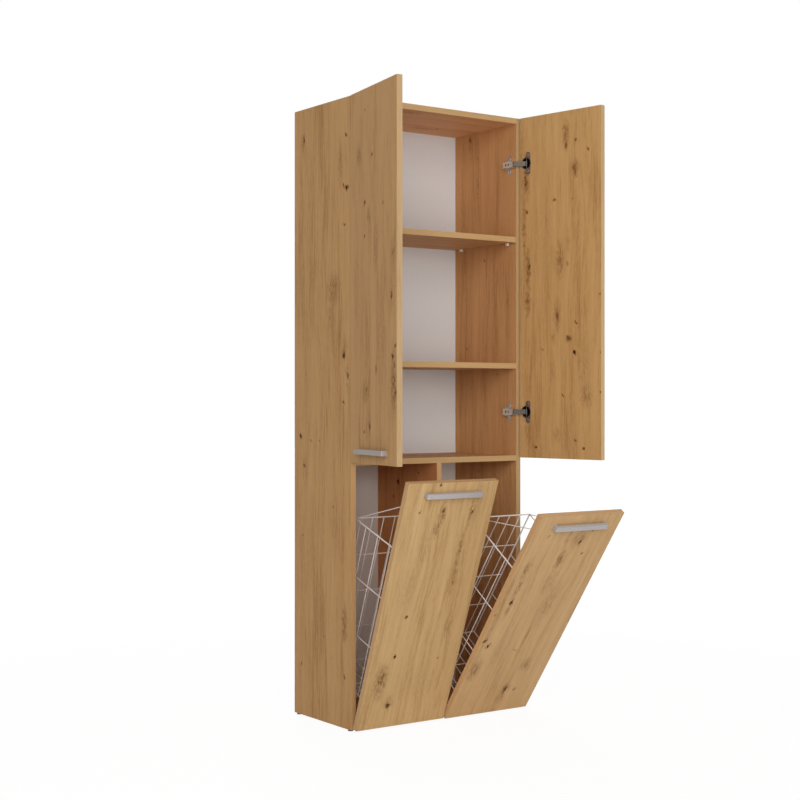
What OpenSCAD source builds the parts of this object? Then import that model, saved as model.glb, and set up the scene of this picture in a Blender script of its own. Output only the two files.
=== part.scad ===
// Bathroom storage tower.
// A tall chipboard cabinet: two hinged doors over shelves, and below them two
// tilt-out fronts that each carry a wire laundry basket.
// X runs to the right, Y from the room to the wall, Z up. The origin is on the
// floor, against the wall, in the middle of the cabinet's width.
// Doors and fronts are drawn shut and are then swung to their opening angles.

/* [Cabinet] */
// Width over the two sides
cabinet_w = 600; // [580:5:640]
// Height from the floor to the top
cabinet_h = 1740; // [1700:5:1800]
// Depth from the wall to the front edges of the boards
cabinet_d = 300; // [300:5:340]
// Thickness of the faced chipboard
board_t = 16; // [16:0.5:18]
// Thickness of the hardboard back
back_t = 3; // [2.5:0.1:4]
// Distance from the edge of the back to the outside of the cabinet
back_inset = 2; // [1:0.5:4]
// Height of the nail-on glides
glide_h = 4; // [3:0.5:8]
// Diameter of the glides
glide_d = 14; // [10:1:16]
// Distance from the front and rear edges to the middle of a glide
glide_inset = 14; // [10:1:30]

/* [Compartments] */
// Clear height of the two laundry bays
bay_h = 708; // [700:1:730]
// Clear height under the fixed shelf
low_gap = 256; // [220:1:290]
// Clear height under the loose shelf
mid_gap = 357; // [300:1:370]
// Play at each end of the loose shelf
shelf_play = 1; // [0.5:0.25:2]
// Distance from the front edge to the front shelf pegs
peg_front = 37; // [30:1:60]
// Distance from the rear edge to the rear shelf pegs
peg_rear = 35; // [30:1:60]
// Diameter of a shelf peg's shank
peg_d = 5; // [4:0.5:6]
// Length of a shelf peg's shank
peg_shank = 8; // [6:0.5:10]
// Length of a shelf peg under the shelf
peg_reach = 8; // [6:0.5:12]

/* [Fronts] */
// Gap between two fronts
front_gap = 3; // [2:0.5:4]
// Gap between a shut front and the boards behind it
standoff = 2; // [1.8:0.1:3]
// How far the doors stand open
door_open = 100; // [60:1:100]
// How far the left laundry front is tilted
left_tilt = 20; // [5:1:35]
// How far the right laundry front is tilted
right_tilt = 35; // [5:1:35]
// Distance of the tilting axis in front of the boards
tilt_axis_out = 19; // [16:0.5:24]
// Distance of the tilting axis below the boards
tilt_axis_drop = 11; // [6:0.5:14]

/* [Handles] */
// Length of a handle
handle_l = 183; // [140:1:240]
// Height of a handle's bar
handle_h = 14; // [10:0.5:18]
// How far a handle stands out
handle_reach = 18; // [15:1:32]
// Thickness of a handle's bar
handle_t = 10; // [4:0.5:12]
// Thickness of a handle's legs
leg_t = 8; // [7:0.5:12]
// Radius of a handle's outer corners
handle_r = 3; // [2:0.5:4]
// Distance from a front's edge to the middle of its handle
handle_inset = 32; // [25:1:60]
// Diameter of the handle screws
handle_screw_d = 4; // [3.5:0.5:5]

/* [Hinges] */
// Distance from a door's ends to the middle of its hinges
door_hinge_inset = 135; // [90:5:200]
// Distance from a laundry front's sides to the middle of its hinges
tilt_hinge_inset = 62; // [50:1:80]
// Diameter of the cup
cup_d = 35; // [35:0.5:36]
// Depth of the cup
cup_depth = 11.5; // [11:0.25:12.5]
// Wall of the cup
cup_wall = 1.2; // [1:0.1:1.5]
// Distance from a front's edge to the middle of the cup
cup_inset = 22.5; // [22:0.25:24]
// Thickness of the cup's flange
flange_t = 1.2; // [1:0.1:1.4]
// Length of the flange
flange_l = 66; // [60:1:68]
// Width of the flange at its screws
flange_w = 17; // [14:0.5:18]
// Distance between the two cup screws
cup_screw_span = 48; // [46:0.5:50]
// Offset of the cup screws from the middle of the cup
cup_screw_offset = 7.5; // [6:0.5:9]
// Diameter of the pin in the cup
pin_d = 3; // [2.5:0.25:3]
// Distance from a front's edge to the pin
pin_inset = 20; // [19.5:0.25:21]
// Depth of the pin below a front's inner face
pin_depth = 4.2; // [4:0.1:4.6]
// Width of the link
link_w = 14; // [11:0.5:14]
// Thickness of the link
link_t = 2.5; // [2:0.1:2.6]
// Length of the link beyond its pin
link_l = 38.5; // [38:0.25:39]
// Width of the arm
arm_w = 18; // [18:0.5:20]
// Sheet thickness of the arm
arm_wall = 1.2; // [1:0.1:1.4]
// Height of the arm over the board that carries it
arm_h = 17; // [17:0.5:20]
// How far the arm reaches in front of the boards
arm_nose = 3; // [2.5:0.25:3.5]
// How far the arm reaches behind the front edge
arm_back = 42; // [40:1:46]
// Distance from the front edge to the middle of the mounting plate
plate_setback = 28; // [26:0.5:32]
// Thickness of the mounting plate
plate_t = 2.5; // [2:0.1:3]
// Length of the mounting plate over its wings
plate_l = 54; // [50:1:58]
// Width of the wings
plate_w = 16; // [14:0.5:18]
// Distance between the two plate screws
plate_screw_span = 32; // [32:1:36]

/* [Baskets] */
// Width of a basket
basket_w = 210; // [180:2:230]
// Distance from the boards' front edge to a basket's rear wall
basket_back = 249; // [220:1:260]
// Height of a basket's floor over the bay's floor
basket_low = 44; // [40:1:80]
// Height of a basket
basket_h = 454; // [400:2:500]
// Gap between a basket and its front
basket_gap = 1.5; // [1:0.25:3]
// Height of the stays' upper ends over the rim
stay_rise = 153; // [120:1:170]
// Diameter of the frame rods
rod_d = 4.5; // [4:0.25:6]
// Diameter of the stays
stay_d = 3.25; // [3:0.25:4]
// Diameter of the mesh wires
wire_d = 3; // [2.5:0.25:3.5]
// Wires between the corners of the rear wall, set out from its right-hand corner
rear_wires = 5; // [4:1:8]
// Rails across the rear wall, between the floor and the rim
rear_rails = 3; // [2:1:5]
// Wires across a side wall
side_wires = 4; // [3:1:6]
// Rails along a side wall, between the floor and the rim
side_rails = 2; // [1:1:4]

/* [Fasteners] */
// Distance from the front and rear edges to the cam bolts
bolt_inset = 50; // [40:1:60]
// Distance from a cam bolt to the dowel beside it
dowel_offset = 32; // [24:1:40]
// Diameter of the wooden dowels
dowel_d = 8; // [6:1:8]
// Length of the wooden dowels
dowel_l = 30; // [28:1:36]
// How deep a dowel sits in the board's face
dowel_depth = 10; // [8:0.5:11]
// Diameter of the cam discs
cam_d = 15; // [12:1:15]
// Height of the cam discs
cam_h = 12; // [11:0.25:13]
// Distance from a board's end to the middle of its cam disc
cam_inset = 24; // [24:0.5:34]
// Diameter of the cam bolts' thread
bolt_d = 5; // [4:0.5:5.5]
// Diameter of the cam bolts' heads
bolt_head_d = 6.5; // [6:0.25:7]
// Distance between the nails of the back
nail_pitch = 150; // [100:10:250]
// Diameter of the nails
nail_d = 1.4; // [1.2:0.1:2]
// Length of the nails
nail_l = 20; // [15:1:25]
// Diameter of the screws that hold hinges and clips
screw_d = 3.5; // [3:0.25:4]
// Length of those screws in the board
screw_l = 11; // [8:0.5:12]

/* [Hidden] */
$fn = 48;

oak = [0.78, 0.61, 0.40];
white = [0.93, 0.93, 0.92];
steel = [0.72, 0.72, 0.73];
grey_metal = [0.66, 0.67, 0.68];
black = [0.08, 0.08, 0.08];
beech = [0.85, 0.72, 0.52];

LEFT = -1;
RIGHT = 1;
SIDES = [LEFT, RIGHT];

// Play between a loose piece and its hole, on the diameter
play = 0.1;
// How far a cut runs past the face that it opens
over = 1;

// Cabinet
front_y = -cabinet_d;
rear_y = -back_t;
board_d = rear_y - front_y;
side_x = cabinet_w / 2;
inner_x = side_x - board_t;
half_t = board_t / 2;
bay_floor = glide_h + board_t;
middle_z = bay_floor + bay_h;
fixed_z = middle_z + board_t + low_gap;
loose_z = fixed_z + board_t + mid_gap;
top_z = cabinet_h - board_t;
fixed_levels = [glide_h, middle_z, fixed_z, top_z];
split_z = middle_z + half_t;

// Fasteners stand on two lines: one near the front edge, one near the rear
bolt_ys = [front_y + bolt_inset, rear_y - bolt_inset];
dowel_ys = [front_y + bolt_inset + dowel_offset, rear_y - bolt_inset - dowel_offset];
bolt_shank_d = 4;
bolt_thread_l = 10;
bolt_head_l = 3;
peg_ys = [front_y + peg_front, rear_y - peg_rear];

// Fronts
edge_gap = front_gap / 2;
door_bottom = split_z + edge_gap;
door_top = cabinet_h - edge_gap;
tilt_bottom = glide_h + edge_gap;
tilt_top = split_z - edge_gap;
front_w = side_x - 2 * edge_gap;
front_back_y = front_y - standoff;
front_face_y = front_back_y - board_t;
front_mid_x = side_x / 2;
door_axis_x = side_x - edge_gap;
door_axis_y = front_back_y - half_t;
tilt_axis_y = front_y - tilt_axis_out;
tilt_axis_z = glide_h - tilt_axis_drop;
door_hinge_zs = [door_bottom + door_hinge_inset, door_top - door_hinge_inset];
tilt_hinge_offsets = [-front_w / 2 + tilt_hinge_inset, front_w / 2 - tilt_hinge_inset];

// A hinge is drawn in its own frame: x off the face of the board that carries
// the arm, y from that board's front edge to the wall, z along the hinge's axis
edge_x = edge_gap - board_t;
cup_x = edge_x + cup_inset;
pin_at = [edge_x + pin_inset, -standoff - pin_depth];
door_pole = [edge_x, -standoff - half_t];
tilt_pole = [-board_t - tilt_axis_drop, -tilt_axis_out];
link_shut_angle = 95;
door_link_turn = 0.453;
tilt_link_turn = 0.257;
link_eye_d = 6;
cup_mouth_d = cup_d - 2 * cup_wall;
cheek_z = arm_w / 2 - arm_wall;
rail_w = 3;
rail_h = 6;
arm_hole_d = 7;
arm_hole_y = plate_setback;
arm_screw_d = 5;
arm_screw_y = plate_setback - 12;
screw_head_d = 2 * screw_d;
screw_head_h = 1.2;

// Baskets
tilt_mid_x = front_mid_x - board_t / 4;
basket_z0 = bay_floor + basket_low;
basket_z1 = basket_z0 + basket_h;
basket_y0 = front_back_y + basket_gap + rod_d / 2;
basket_y1 = front_y + basket_back;
stay_z = basket_z1 + stay_rise;
stay_tail = 16;
rear_pitch = basket_w / (rear_wires + 0.5);
clip_h = 12;
clip_t = 2.5;
clip_rim = 3;
clip_tongue = 15;
clip_inset = 30;

// ---------------------------------------------------------------- boards

// A board from its lowest corner
module board(at, size) {
    color(oak) translate(at) cube(size);
}

// Holes in the inner face of a side for one fixed board's fasteners
module side_holes(level) {
    for (y = bolt_ys)
        translate([-over, y, level + half_t]) rotate([0, 90, 0])
            cylinder(d = bolt_d + play, h = bolt_thread_l + over + play);
    for (y = dowel_ys)
        translate([-over, y, level + half_t]) rotate([0, 90, 0])
            cylinder(d = dowel_d + play, h = dowel_depth + over + play);
}

// Holes in the right-hand end of a lying board whose end face is at x = 0:
// dowel hole, bolt channel and cam pocket, open on the hidden face
module end_holes(pocket_up) {
    pocket_z = pocket_up ? board_t - cam_h - play : -over;
    for (y = dowel_ys)
        translate([-(dowel_l - dowel_depth) - play, y, half_t]) rotate([0, 90, 0])
            cylinder(d = dowel_d + play, h = dowel_l - dowel_depth + over + play);
    for (y = bolt_ys) {
        translate([-cam_inset, y, half_t]) rotate([0, 90, 0])
            cylinder(d = bolt_head_d + play, h = cam_inset + over);
        translate([-cam_inset, y, pocket_z])
            cylinder(d = cam_d + play, h = cam_h + over + play);
    }
}

module side(side) {
    difference() {
        board([side == LEFT ? -side_x : inner_x, front_y, glide_h],
              [board_t, board_d, cabinet_h - glide_h]);
        translate([side * inner_x, 0, 0]) mirror([side == LEFT ? 1 : 0, 0, 0]) {
            for (level = fixed_levels) side_holes(level);
            for (y = peg_ys)
                translate([-over, y, loose_z - peg_d / 2 - over]) rotate([0, 90, 0])
                    cylinder(d = peg_d + play, h = peg_shank + over + play);
        }
    }
}

// A lying board between the sides, bored at both ends
module fixed_board(level, pocket_up = false) {
    difference() {
        board([-inner_x, front_y, level], [2 * inner_x, board_d, board_t]);
        for (side = SIDES)
            mirror([side == LEFT ? 1 : 0, 0, 0]) translate([inner_x, 0, level])
                end_holes(pocket_up);
    }
}

// Holes for the partition's fasteners, from z = 0 upwards
module partition_holes() {
    for (y = bolt_ys)
        translate([0, y, -over]) cylinder(d = bolt_d + play, h = bolt_thread_l + over + play);
    for (y = dowel_ys)
        translate([0, y, -over]) cylinder(d = dowel_d + play, h = dowel_depth + over + play);
}

module top_board() fixed_board(top_z, pocket_up = true);

module bottom_board() {
    difference() {
        fixed_board(glide_h);
        translate([0, 0, bay_floor]) mirror([0, 0, 1]) partition_holes();
    }
}

module middle_board() {
    difference() {
        fixed_board(middle_z);
        translate([0, 0, middle_z]) partition_holes();
    }
}

module fixed_shelf() fixed_board(fixed_z);

module loose_shelf() {
    board([-inner_x + shelf_play, front_y, loose_z],
          [2 * (inner_x - shelf_play), board_d, board_t]);
}

// Puts a lying board's right-hand end at one end of the partition
module at_partition_end(upper) {
    if (upper) translate([0, 0, middle_z]) rotate([0, -90, 0]) translate([0, 0, -half_t]) children();
    else translate([0, 0, bay_floor]) mirror([0, 0, 1]) rotate([0, -90, 0])
        translate([0, 0, -half_t]) children();
}

module partition() {
    difference() {
        board([-half_t, front_y, bay_floor], [board_t, board_d, bay_h]);
        for (upper = [false, true]) at_partition_end(upper) end_holes(false);
    }
}

// ---------------------------------------------------------------- fasteners

// Calls its children at every joint between a lying board's end and a side,
// and at the partition's two ends
module at_ends() {
    for (level = fixed_levels, side = SIDES)
        mirror([side == LEFT ? 1 : 0, 0, 0]) translate([inner_x, 0, level]) {
            $pocket_up = level == top_z;
            children();
        }
    for (upper = [false, true]) at_partition_end(upper) {
        $pocket_up = false;
        children();
    }
}

module dowels() {
    color(beech) at_ends()
        for (y = dowel_ys)
            translate([-(dowel_l - dowel_depth), y, half_t]) rotate([0, 90, 0])
                cylinder(d = dowel_d, h = dowel_l);
}

module cam_bolts() {
    color(steel) at_ends()
        for (y = bolt_ys) translate([0, y, half_t]) rotate([0, 90, 0]) {
            cylinder(d = bolt_d, h = bolt_thread_l);
            translate([0, 0, -cam_inset + bolt_head_l])
                cylinder(d = bolt_shank_d, h = cam_inset - bolt_head_l + over);
            translate([0, 0, -cam_inset]) cylinder(d = bolt_head_d, h = bolt_head_l);
        }
}

// A cam disc, slotted for the head of its bolt
module cam_disc() {
    difference() {
        cylinder(d = cam_d, h = cam_h);
        translate([0, 0, half_t]) {
            rotate([0, 90, 0]) cylinder(d = bolt_head_d + 2 * play, h = cam_d);
            sphere(d = bolt_head_d + 2 * play);
        }
    }
}

module cam_discs() {
    color(steel) at_ends()
        for (y = bolt_ys) translate([-cam_inset, y, 0])
            if ($pocket_up) translate([0, 0, board_t]) mirror([0, 0, 1]) cam_disc();
            else cam_disc();
}

// A shelf peg: a round shank in the side and a square lug under the shelf
module shelf_pegs() {
    peg_z = loose_z - peg_d / 2 - over;
    lug_h = peg_d + 2 * over;
    color(white)
        for (side = SIDES, y = peg_ys)
            translate([side * inner_x, y, peg_z]) mirror([side == LEFT ? 1 : 0, 0, 0]) {
                rotate([0, 90, 0]) cylinder(d = peg_d, h = peg_shank);
                translate([-peg_reach, -lug_h / 2, -lug_h / 2]) cube([peg_reach, lug_h, lug_h]);
            }
}

module back_sheet(low, high) {
    half_w = side_x - back_inset;
    color(white) translate([-half_w, rear_y, low]) cube([2 * half_w, back_t, high - low]);
}

module back_upper() back_sheet(split_z, cabinet_h - back_inset);

module back_lower() back_sheet(glide_h + back_inset, split_z);

// A flat-headed nail, driven flush from the wall side towards the front
module nail() {
    rotate([90, 0, 0]) {
        cylinder(d = nail_d, h = nail_l);
        cylinder(d = 2.5 * nail_d, h = nail_d / 2);
    }
}

// Nail positions, evenly spread from a to b
function spread(a, b, pitch) =
    let (n = max(1, round((b - a) / pitch)))
    [for (i = [0:n]) a + (b - a) * i / n];

module back_nails() {
    low = glide_h + half_t;
    high = cabinet_h - half_t;
    upright_zs = spread(low + board_t, high - board_t, nail_pitch);
    lying_xs = spread(-side_x + 3 * board_t, side_x - 3 * board_t, nail_pitch);
    color(steel) {
        for (side = SIDES, z = upright_zs)
            translate([side * (side_x - half_t), 0, z]) nail();
        for (x = lying_xs, z = [low, fixed_z + half_t, high])
            translate([x, 0, z]) nail();
        for (x = lying_xs, dz = [-1, 1])
            translate([x, 0, split_z + dz * board_t / 4]) nail();
    }
}

module glides() {
    ys = [front_y + glide_inset, rear_y - glide_inset];
    color(black)
        for (x = [-side_x + half_t, 0, side_x - half_t], y = ys)
            translate([x, y, 0]) {
                cylinder(d = glide_d, h = glide_h);
                cylinder(d = 2, h = glide_h + 12);
            }
}

// ---------------------------------------------------------------- hinges

// Turns a point in a hinge's frame about a pole, the way that a front opens
function opened(p, pole, a) = [
    pole.x + (p.x - pole.x) * cos(a) + (p.y - pole.y) * sin(a),
    pole.y - (p.x - pole.x) * sin(a) + (p.y - pole.y) * cos(a)
];

// Puts a hinge on the side at a height
module on_side(side, z) {
    translate([side * inner_x, front_y, z]) mirror([side == RIGHT ? 1 : 0, 0, 0]) children();
}

// Puts a hinge on the floor of a bay
module on_floor(x) {
    translate([x, front_y, bay_floor]) rotate([0, -90, 0]) children();
}

module at_door_hinges(side) for (z = door_hinge_zs) on_side(side, z) children();

module at_tilt_hinges(side) {
    for (dx = tilt_hinge_offsets) on_floor(side * front_mid_x + dx) children();
}

// The mounting plate: two wings, and a bed for the arm that is open under it
module hinge_plate() {
    bed_w = 2 * (cheek_z + arm_wall + rail_w + play);
    bed_y = plate_setback - plate_w / 2;
    bed_back = arm_back + rail_w;
    color(steel) difference() {
        union() {
            for (s = [-1, 1])
                translate([0, plate_setback, s * (plate_l - plate_w) / 2]) rotate([0, 90, 0])
                    cylinder(d = plate_w, h = plate_t);
            translate([0, bed_y, -(plate_l - plate_w) / 2]) cube([plate_t, plate_w, plate_l - plate_w]);
            translate([0, bed_y, -bed_w / 2]) cube([plate_t, bed_back - bed_y, bed_w]);
            translate([0, bed_y, -bed_w / 2]) cube([rail_h, bed_back - bed_y, bed_w]);
        }
        translate([-over, bed_y - over, -cheek_z])
            cube([rail_h + 2 * over, arm_back - bed_y + over, 2 * cheek_z]);
        translate([plate_t, bed_y - over, -cheek_z - arm_wall - play])
            cube([rail_h, arm_back - bed_y + over + play, 2 * (cheek_z + arm_wall + play)]);
        for (s = [-1, 1])
            translate([-over, plate_setback, s * plate_screw_span / 2 + s * (plate_l - plate_screw_span) / 8])
                rotate([0, 90, 0]) cylinder(d = screw_d + play, h = plate_t + 2 * over);
    }
}

// A wood screw that stands on a face at x = 0 and runs into the board
module wood_screw(thickness) {
    rotate([0, 90, 0]) translate([0, 0, thickness]) cylinder(d = screw_head_d, h = screw_head_h);
    rotate([0, 90, 0]) translate([0, 0, -screw_l])
        cylinder(d = screw_d, h = screw_l + thickness + screw_head_h / 2);
}

module plate_screws() {
    color(steel)
        for (s = [-1, 1])
            translate([0, plate_setback, s * plate_screw_span / 2 + s * (plate_l - plate_screw_span) / 8])
                wood_screw(plate_t);
}

// The arm: a sheet-steel channel, open at its nose and towards the board
module hinge_arm() {
    color(grey_metal) difference() {
        translate([plate_t, -arm_nose, -arm_w / 2]) cube([arm_h - plate_t, arm_back + arm_nose, arm_w]);
        translate([plate_t - over, -arm_nose - over, -cheek_z])
            cube([arm_h - plate_t - arm_wall + over, arm_back + arm_nose + over - arm_wall, 2 * cheek_z]);
        translate([0, arm_hole_y, 0]) rotate([0, 90, 0]) cylinder(d = arm_hole_d, h = arm_h + over);
        translate([0, arm_screw_y, 0]) rotate([0, 90, 0]) cylinder(d = arm_screw_d + play, h = arm_h + over);
    }
}

// The short set screw that adjusts the arm
module arm_screw() {
    color(steel) translate([arm_h - arm_wall, arm_screw_y, 0]) rotate([0, 90, 0])
        difference() {
            cylinder(d = arm_screw_d, h = arm_wall);
            translate([-arm_screw_d, -0.4, arm_wall / 2]) cube([2 * arm_screw_d, 0.8, arm_wall]);
        }
}

// The cup, drawn shut: a pot in the front, with a flange on its inner face
module hinge_cup() {
    mouth_y = -standoff;
    color(steel) translate([cup_x, mouth_y, 0]) difference() {
        union() {
            rotate([90, 0, 0]) cylinder(d = cup_d, h = cup_depth);
            rotate([-90, 0, 0]) cylinder(d = cup_d + 1, h = flange_t);
            translate([cup_screw_offset - flange_w / 2, 0, -flange_l / 2 + flange_w / 2])
                cube([flange_w, flange_t, flange_l - flange_w]);
            for (s = [-1, 1])
                translate([cup_screw_offset, 0, s * (flange_l - flange_w) / 2]) rotate([-90, 0, 0])
                    cylinder(d = flange_w, h = flange_t);
        }
        translate([0, flange_t + over, 0]) rotate([90, 0, 0])
            cylinder(d = cup_mouth_d, h = cup_depth - cup_wall + flange_t + over);
        translate([pin_at.x - cup_x, -pin_depth, -cup_d / 2]) cylinder(d = pin_d + play, h = cup_d);
        for (s = [-1, 1])
            translate([cup_screw_offset, -over, s * cup_screw_span / 2]) rotate([-90, 0, 0])
                cylinder(d = screw_d + play, h = flange_t + 2 * over);
    }
}

// Half the length of a chord of the cup's outside through the pin
function pin_half() = sqrt(pow(cup_d / 2 - cup_wall / 3, 2) - pow(pin_at.x - cup_x, 2));

module cup_pin() {
    color(grey_metal) translate([pin_at.x, pin_at.y, -pin_half()]) cylinder(d = pin_d, h = 2 * pin_half());
}

module cup_screws() {
    color(steel)
        for (s = [-1, 1])
            translate([cup_x + cup_screw_offset, -standoff, s * cup_screw_span / 2]) rotate([0, 0, 90])
                wood_screw(flange_t);
}

// The pocket for a cup in a front
module cup_pocket() {
    translate([cup_x, -standoff + over, 0]) rotate([90, 0, 0])
        cylinder(d = cup_d + play, h = cup_depth + over + play);
}

// The link turns on the cup's pin, and its tail runs in the arm. It is drawn
// where it stands when the front has been opened by an angle about a pole
module hinge_link(pole, angle, turn) {
    at = opened(pin_at, pole, angle);
    color(grey_metal) translate([at.x, at.y, 0]) rotate([0, 0, link_shut_angle - turn * angle])
        difference() {
            union() {
                cylinder(d = link_eye_d, h = link_w, center = true);
                translate([0, -link_t / 2, -link_w / 2]) cube([link_l, link_t, link_w]);
            }
            cylinder(d = pin_d + play, h = link_w + 2 * over, center = true);
        }
}

// ---------------------------------------------------------------- fronts

module swing_door(side) {
    translate([side * door_axis_x, door_axis_y, 0]) rotate([0, 0, side * door_open])
        translate([-side * door_axis_x, -door_axis_y, 0]) children();
}

module swing_tilt(side) {
    translate([0, tilt_axis_y, tilt_axis_z]) rotate([side == LEFT ? left_tilt : right_tilt, 0, 0])
        translate([0, -tilt_axis_y, -tilt_axis_z]) children();
}

// Two screw holes through a front for its handle
module handle_holes(side, z) {
    for (s = [-1, 1])
        translate([side * front_mid_x + s * (handle_l - leg_t) / 2, front_face_y - over, z])
            rotate([-90, 0, 0]) cylinder(d = handle_screw_d + 1, h = board_t + 2 * over);
}

// A shut front between two heights, bored for its handle
module front_board(side, low, high, handle_z) {
    difference() {
        board([side * front_mid_x - front_w / 2, front_face_y, low], [front_w, board_t, high - low]);
        handle_holes(side, handle_z);
    }
}

// A handle with its legs on a front's face
module handle(side, z) {
    color(steel) translate([side * front_mid_x, front_face_y, z - handle_h / 2]) difference() {
        linear_extrude(handle_h) difference() {
            union() {
                translate([-handle_l / 2 + handle_r, -handle_reach])
                    square([handle_l - 2 * handle_r, handle_reach]);
                translate([-handle_l / 2, -handle_reach + handle_r])
                    square([handle_l, handle_reach - handle_r]);
                for (s = [-1, 1])
                    translate([s * (handle_l / 2 - handle_r), -handle_reach + handle_r]) circle(r = handle_r);
            }
            translate([-handle_l / 2 + leg_t, -handle_reach + handle_t])
                square([handle_l - 2 * leg_t, handle_reach]);
        }
        for (s = [-1, 1])
            translate([s * (handle_l - leg_t) / 2, over, handle_h / 2]) rotate([90, 0, 0])
                cylinder(d = handle_screw_d + play, h = 12 + over);
    }
}

module handle_screws(side, z) {
    color(steel)
        for (s = [-1, 1])
            translate([side * front_mid_x + s * (handle_l - leg_t) / 2, front_back_y, z]) {
                rotate([90, 0, 0]) cylinder(d = handle_screw_d, h = board_t + 10);
                rotate([-90, 0, 0]) cylinder(d = 2 * handle_screw_d, h = handle_screw_d / 2);
            }
}

door_handle_z = door_bottom + handle_inset;
tilt_handle_z = tilt_top - handle_inset;

module door_board(side) {
    swing_door(side) difference() {
        front_board(side, door_bottom, door_top, door_handle_z);
        at_door_hinges(side) cup_pocket();
    }
}

module door_handle(side) swing_door(side) handle(side, door_handle_z);

module door_handle_screws(side) swing_door(side) handle_screws(side, door_handle_z);

module door_cups(side) swing_door(side) at_door_hinges(side) hinge_cup();

module door_cup_pins(side) swing_door(side) at_door_hinges(side) cup_pin();

module door_cup_screws(side) swing_door(side) at_door_hinges(side) cup_screws();

module door_links(side) at_door_hinges(side) hinge_link(door_pole, door_open, door_link_turn);

module tilt_board(side) {
    swing_tilt(side) difference() {
        front_board(side, tilt_bottom, tilt_top, tilt_handle_z);
        at_tilt_hinges(side) cup_pocket();
    }
}

module tilt_handle(side) swing_tilt(side) handle(side, tilt_handle_z);

module tilt_handle_screws(side) swing_tilt(side) handle_screws(side, tilt_handle_z);

module tilt_cups(side) swing_tilt(side) at_tilt_hinges(side) hinge_cup();

module tilt_cup_pins(side) swing_tilt(side) at_tilt_hinges(side) cup_pin();

module tilt_cup_screws(side) swing_tilt(side) at_tilt_hinges(side) cup_screws();

module tilt_links(side) {
    at_tilt_hinges(side)
        hinge_link(tilt_pole, side == LEFT ? left_tilt : right_tilt, tilt_link_turn);
}

// ---------------------------------------------------------------- baskets

// Eight-sided rods with their flats square to the axes
module rod_z(x, y, z0, z1, d) {
    translate([x, y, z0]) rotate([0, 0, 22.5]) cylinder(d = d / cos(22.5), h = z1 - z0, $fn = 8);
}

module rod_x(x0, x1, y, z, d) {
    translate([x0, y, z]) rotate([0, 90, 0]) rotate([0, 0, 22.5])
        cylinder(d = d / cos(22.5), h = x1 - x0, $fn = 8);
}

module rod_y(x, y0, y1, z, d) {
    translate([x, y0, z]) rotate([-90, 0, 0]) rotate([0, 0, 22.5])
        cylinder(d = d / cos(22.5), h = y1 - y0, $fn = 8);
}

// Positions across a basket's width and along its depth
wire_xs = [for (i = [1:rear_wires]) basket_w / 2 - i * rear_pitch];
side_pitch = (basket_y1 - basket_y0) / side_wires;
wire_ys = [for (i = [1:side_wires - 1]) basket_y1 - i * side_pitch + side_pitch / 8];
half_w = basket_w / 2;
stay_x = half_w - (rod_d + stay_d) / 2 - play / 2;
rim_d = rod_d - 0.4;
upright_d = wire_d - 0.2;

// The front or the rear wall of a basket, with the two corner rods
module end_mat(y) {
    union() {
        for (s = [-1, 1]) rod_z(s * half_w, y, basket_z0 - rod_d / 2, basket_z1 + rod_d / 2, rod_d);
        for (z = [basket_z0, basket_z1]) rod_x(-half_w, half_w, y, z, rim_d);
        for (i = [1:rear_rails])
            rod_x(-half_w, half_w, y, basket_z0 + basket_h * i / (rear_rails + 1), wire_d);
        for (x = wire_xs) rod_z(x, y, basket_z0, basket_z1, upright_d);
    }
}

// A side wall of a basket, between the corner rods
module side_mat(x) {
    y0 = basket_y0 + rod_d / 2 + play / 2;
    y1 = basket_y1 - rod_d / 2 - play / 2;
    union() {
        for (z = [basket_z0, basket_z1]) rod_y(x, y0, y1, z, rim_d);
        for (i = [1:side_rails])
            rod_y(x, y0, y1, basket_z0 + basket_h * i / (side_rails + 1), wire_d);
        for (y = wire_ys) rod_z(x, y, basket_z0, basket_z1, upright_d);
    }
}

// The floor of a basket, between its bottom rails
module floor_mat() {
    inner_w = half_w - rim_d / 2 - play / 2;
    union() {
        for (x = wire_xs)
            rod_y(x, basket_y0 + rim_d / 2 + play / 2, basket_y1 - rim_d / 2 - play / 2, basket_z0, upright_d);
        rod_x(-inner_w, inner_w, (basket_y0 + basket_y1) / 2, basket_z0, wire_d);
    }
}

// A stay beside the side wall: from the rear corner up to the front's back
module stay(s) {
    x = s * stay_x;
    rise = stay_z - basket_z1;
    run = basket_y1 - basket_y0;
    length = sqrt(rise * rise + run * run);
    union() {
        translate([x, basket_y1, basket_z1]) rotate([90 - atan2(rise, run), 0, 0]) rotate([0, 0, 22.5])
            translate([0, 0, rod_d / 2 + play])
                cylinder(d = (stay_d - play) / cos(22.5), h = length - rod_d / 2 - play, $fn = 8);
        rod_z(x, basket_y0, stay_z - stay_d / 2, stay_z + stay_tail, stay_d);
    }
}

module basket(side) {
    color(white) translate([side * tilt_mid_x, 0, 0]) {
        for (y = [basket_y0, basket_y1]) end_mat(y);
        for (s = [-1, 1]) side_mat(s * half_w);
        floor_mat();
        for (s = [-1, 1]) stay(s);
    }
}

// Calls its children at the four corner rods, with the clips' tongues away
// from the basket
module at_corner_clips() {
    for (s = [-1, 1]) mirror([s == -1 ? 1 : 0, 0, 0])
        for (z = [basket_z0 + clip_inset, basket_z1 - clip_inset])
            translate([half_w, front_back_y, z]) children();
}

// Calls its children at the upper ends of the two stays
module at_stay_clips() {
    for (s = [-1, 1]) mirror([s == -1 ? 1 : 0, 0, 0])
        translate([stay_x, front_back_y, stay_z + stay_tail / 2]) children();
}

clip_screw_x = rod_d / 2 + clip_rim + (clip_tongue - clip_rim) / 2;

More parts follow.
